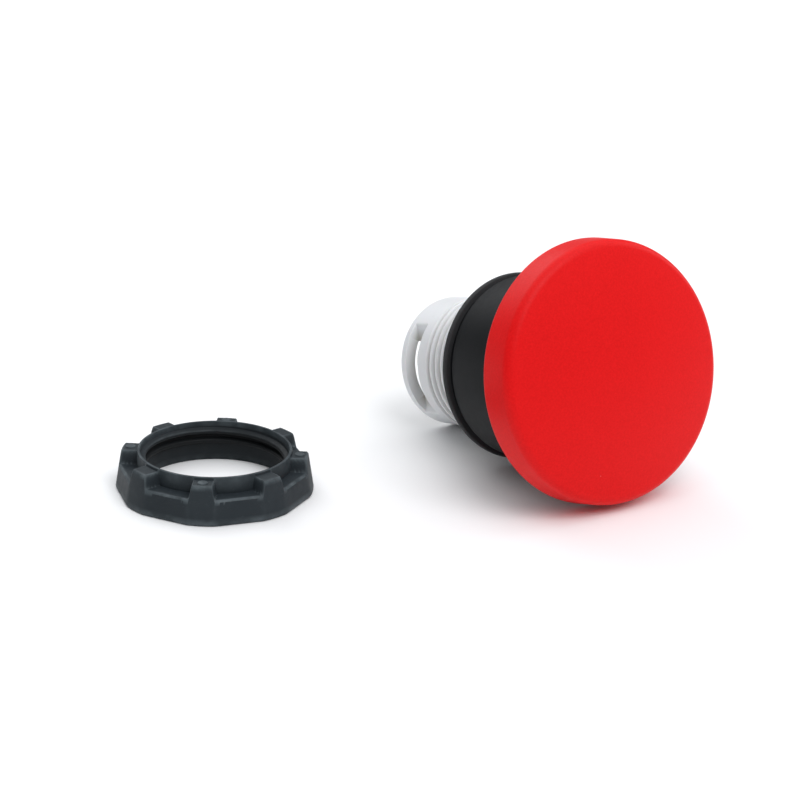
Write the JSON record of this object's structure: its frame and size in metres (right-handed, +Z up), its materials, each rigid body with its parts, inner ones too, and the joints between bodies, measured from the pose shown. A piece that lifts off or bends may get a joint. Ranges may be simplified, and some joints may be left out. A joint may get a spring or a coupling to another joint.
{
  "type": "emergency stop button",
  "caption": "Push-pull mushroom-head emergency stop operator with black collar, gasket and threaded light grey body, lying beside its loose castellated panel nut.",
  "frame": {"origin": "under the centre of the bounding box, on the bench that the head and its nut lie on", "axes": "+Z up from the bench; the button's face looks towards -Y and tilts up by the angle at which the head lies on its cap rim and tail end; the nut lies towards -X"},
  "size_m": [0.0834, 0.054, 0.0395],
  "materials": {
    "cap_red": "satin, fine spark-eroded grain",
    "collar_black": "satin moulded black",
    "gasket_rubber": "dull moulded rubber",
    "seal_rubber": "smooth black rubber",
    "body_light_grey": "smooth moulded light grey",
    "plunger_grey": "smooth moulded grey",
    "keeper_black": "moulded black",
    "nut_slate_grey": "fine grained glass-filled plastic",
    "brass": "turned",
    "zinc_steel": "zinc plated",
    "spring_steel": "drawn spring wire and strip"
  },
  "bodies": {
    "head_housing": {"collar": "collar_black", "wiper_ring": "seal_rubber", "panel_gasket": "gasket_rubber", "flange_seal": "seal_rubber", "threaded_body": "body_light_grey", "spring_seat_washer": "zinc_steel", "return_spring": "spring_steel", "latch_spring": "spring_steel", "latch_keeper": "keeper_black", "retaining_ring": "spring_steel"},
    "push_head": {"mushroom_cap": "cap_red", "cap_insert": "brass", "cap_screw": "zinc_steel", "screw_washer": "spring_steel", "plunger": "plunger_grey", "plunger_ring_seal": "seal_rubber", "contact_actuator": "keeper_black"},
    "loose_nut": {"mounting_nut": "nut_slate_grey"}
  },
  "joints": [
    {"name": "head_push", "type": "slide", "parent": "head_housing", "child": "push_head", "axis": [0, 0.9674, -0.2531], "range_m": [0, 0.005], "deforming": ["return_spring", "latch_spring"]},
    {"name": "nut_turn", "type": "hinge", "parent": "head_housing", "child": "loose_nut", "pos_m": [-0.02671, 0.01201, 0], "axis": [0, 0, 1], "continuous": true}
  ]
}
